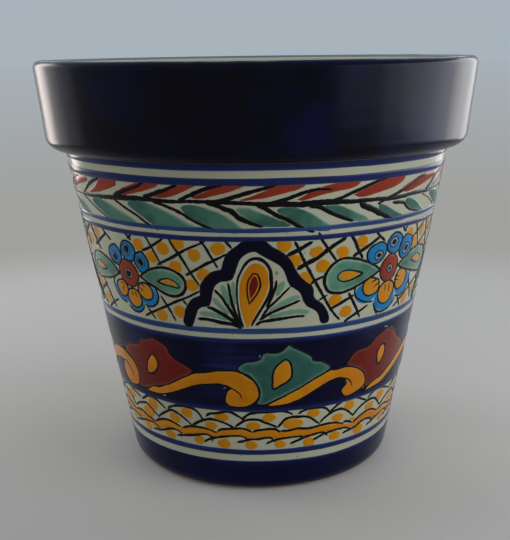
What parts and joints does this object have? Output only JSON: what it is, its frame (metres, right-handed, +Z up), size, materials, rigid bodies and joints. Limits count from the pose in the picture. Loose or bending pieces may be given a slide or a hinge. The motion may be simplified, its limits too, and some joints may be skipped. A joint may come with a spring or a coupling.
{
  "type": "flower pot",
  "caption": "Tapering talavera flower pot with a deep cobalt collar, banded and painted wall, bare clay inside and a drain hole in the floor.",
  "frame": {"origin": "centre of the foot, on the ground", "axes": "+Z up along the pot's axis; -Y faces the viewer of the picture, +X to the right"},
  "size_m": [0.216, 0.216, 0.2006],
  "materials": {
    "terracotta": "bare fired clay, matte",
    "white_glaze": "glossy cream-white tin glaze",
    "dark_cobalt": "thick glossy cobalt, nearly black",
    "cobalt": "brushed glossy cobalt",
    "blue_green": "thin glossy blue-green"
  },
  "bodies": {
    "root": {"floor_slab": "terracotta", "clay_wall": "terracotta", "rim_collar": "terracotta", "tin_glaze": "white_glaze", "collar_glaze": "dark_cobalt", "lip_line": "blue_green", "lip_glaze": "white_glaze", "neck_stripe": "cobalt", "shoulder_stripe": "cobalt", "garland_stripe": "cobalt", "lattice_top_stripe": "cobalt", "lattice_foot_stripe": "cobalt", "wave_ground": "dark_cobalt", "scale_stripe": "cobalt", "foot_band": "dark_cobalt"}
  },
  "joints": []
}
